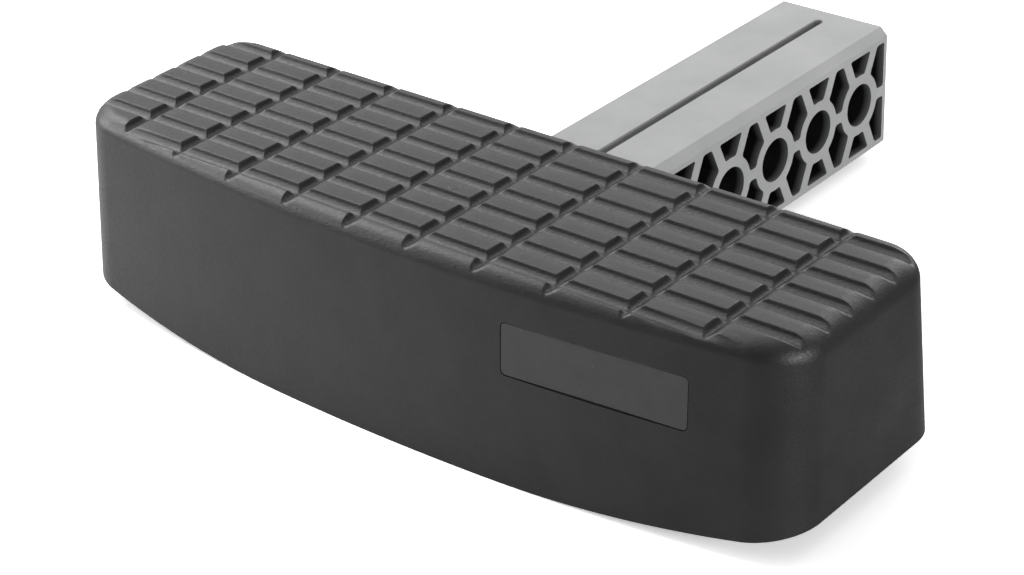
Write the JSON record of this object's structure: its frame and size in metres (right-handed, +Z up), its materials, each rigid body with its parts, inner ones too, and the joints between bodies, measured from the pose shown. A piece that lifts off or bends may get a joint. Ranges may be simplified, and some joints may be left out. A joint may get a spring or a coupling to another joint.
{
  "type": "hitch receiver step",
  "caption": "Step for a two-inch hitch receiver: bowed hollow step with a ribbed grip tread on a lattice-sided shank with cross holes for a hitch pin.",
  "frame": {"origin": "on the ground, at the centre of the whole outline seen from above", "axes": "+X along the step, +Y back along the shank towards the receiver, +Z up"},
  "size_m": [0.3018, 0.2682, 0.0728],
  "materials": {
    "step_plastic": "moulded with a fine grain",
    "shank_plastic": "plain moulded",
    "plate_plastic": "gloss",
    "insert_brass": "knurled",
    "washer_steel": "zinc plated",
    "bolt_steel": "black oxide"
  },
  "bodies": {
    "root": {"step_shell": "step_plastic", "shank": "shank_plastic", "name_plate": "plate_plastic", "thread_inserts": "insert_brass", "bolt_washers": "washer_steel", "shank_bolts": "bolt_steel"}
  },
  "joints": []
}
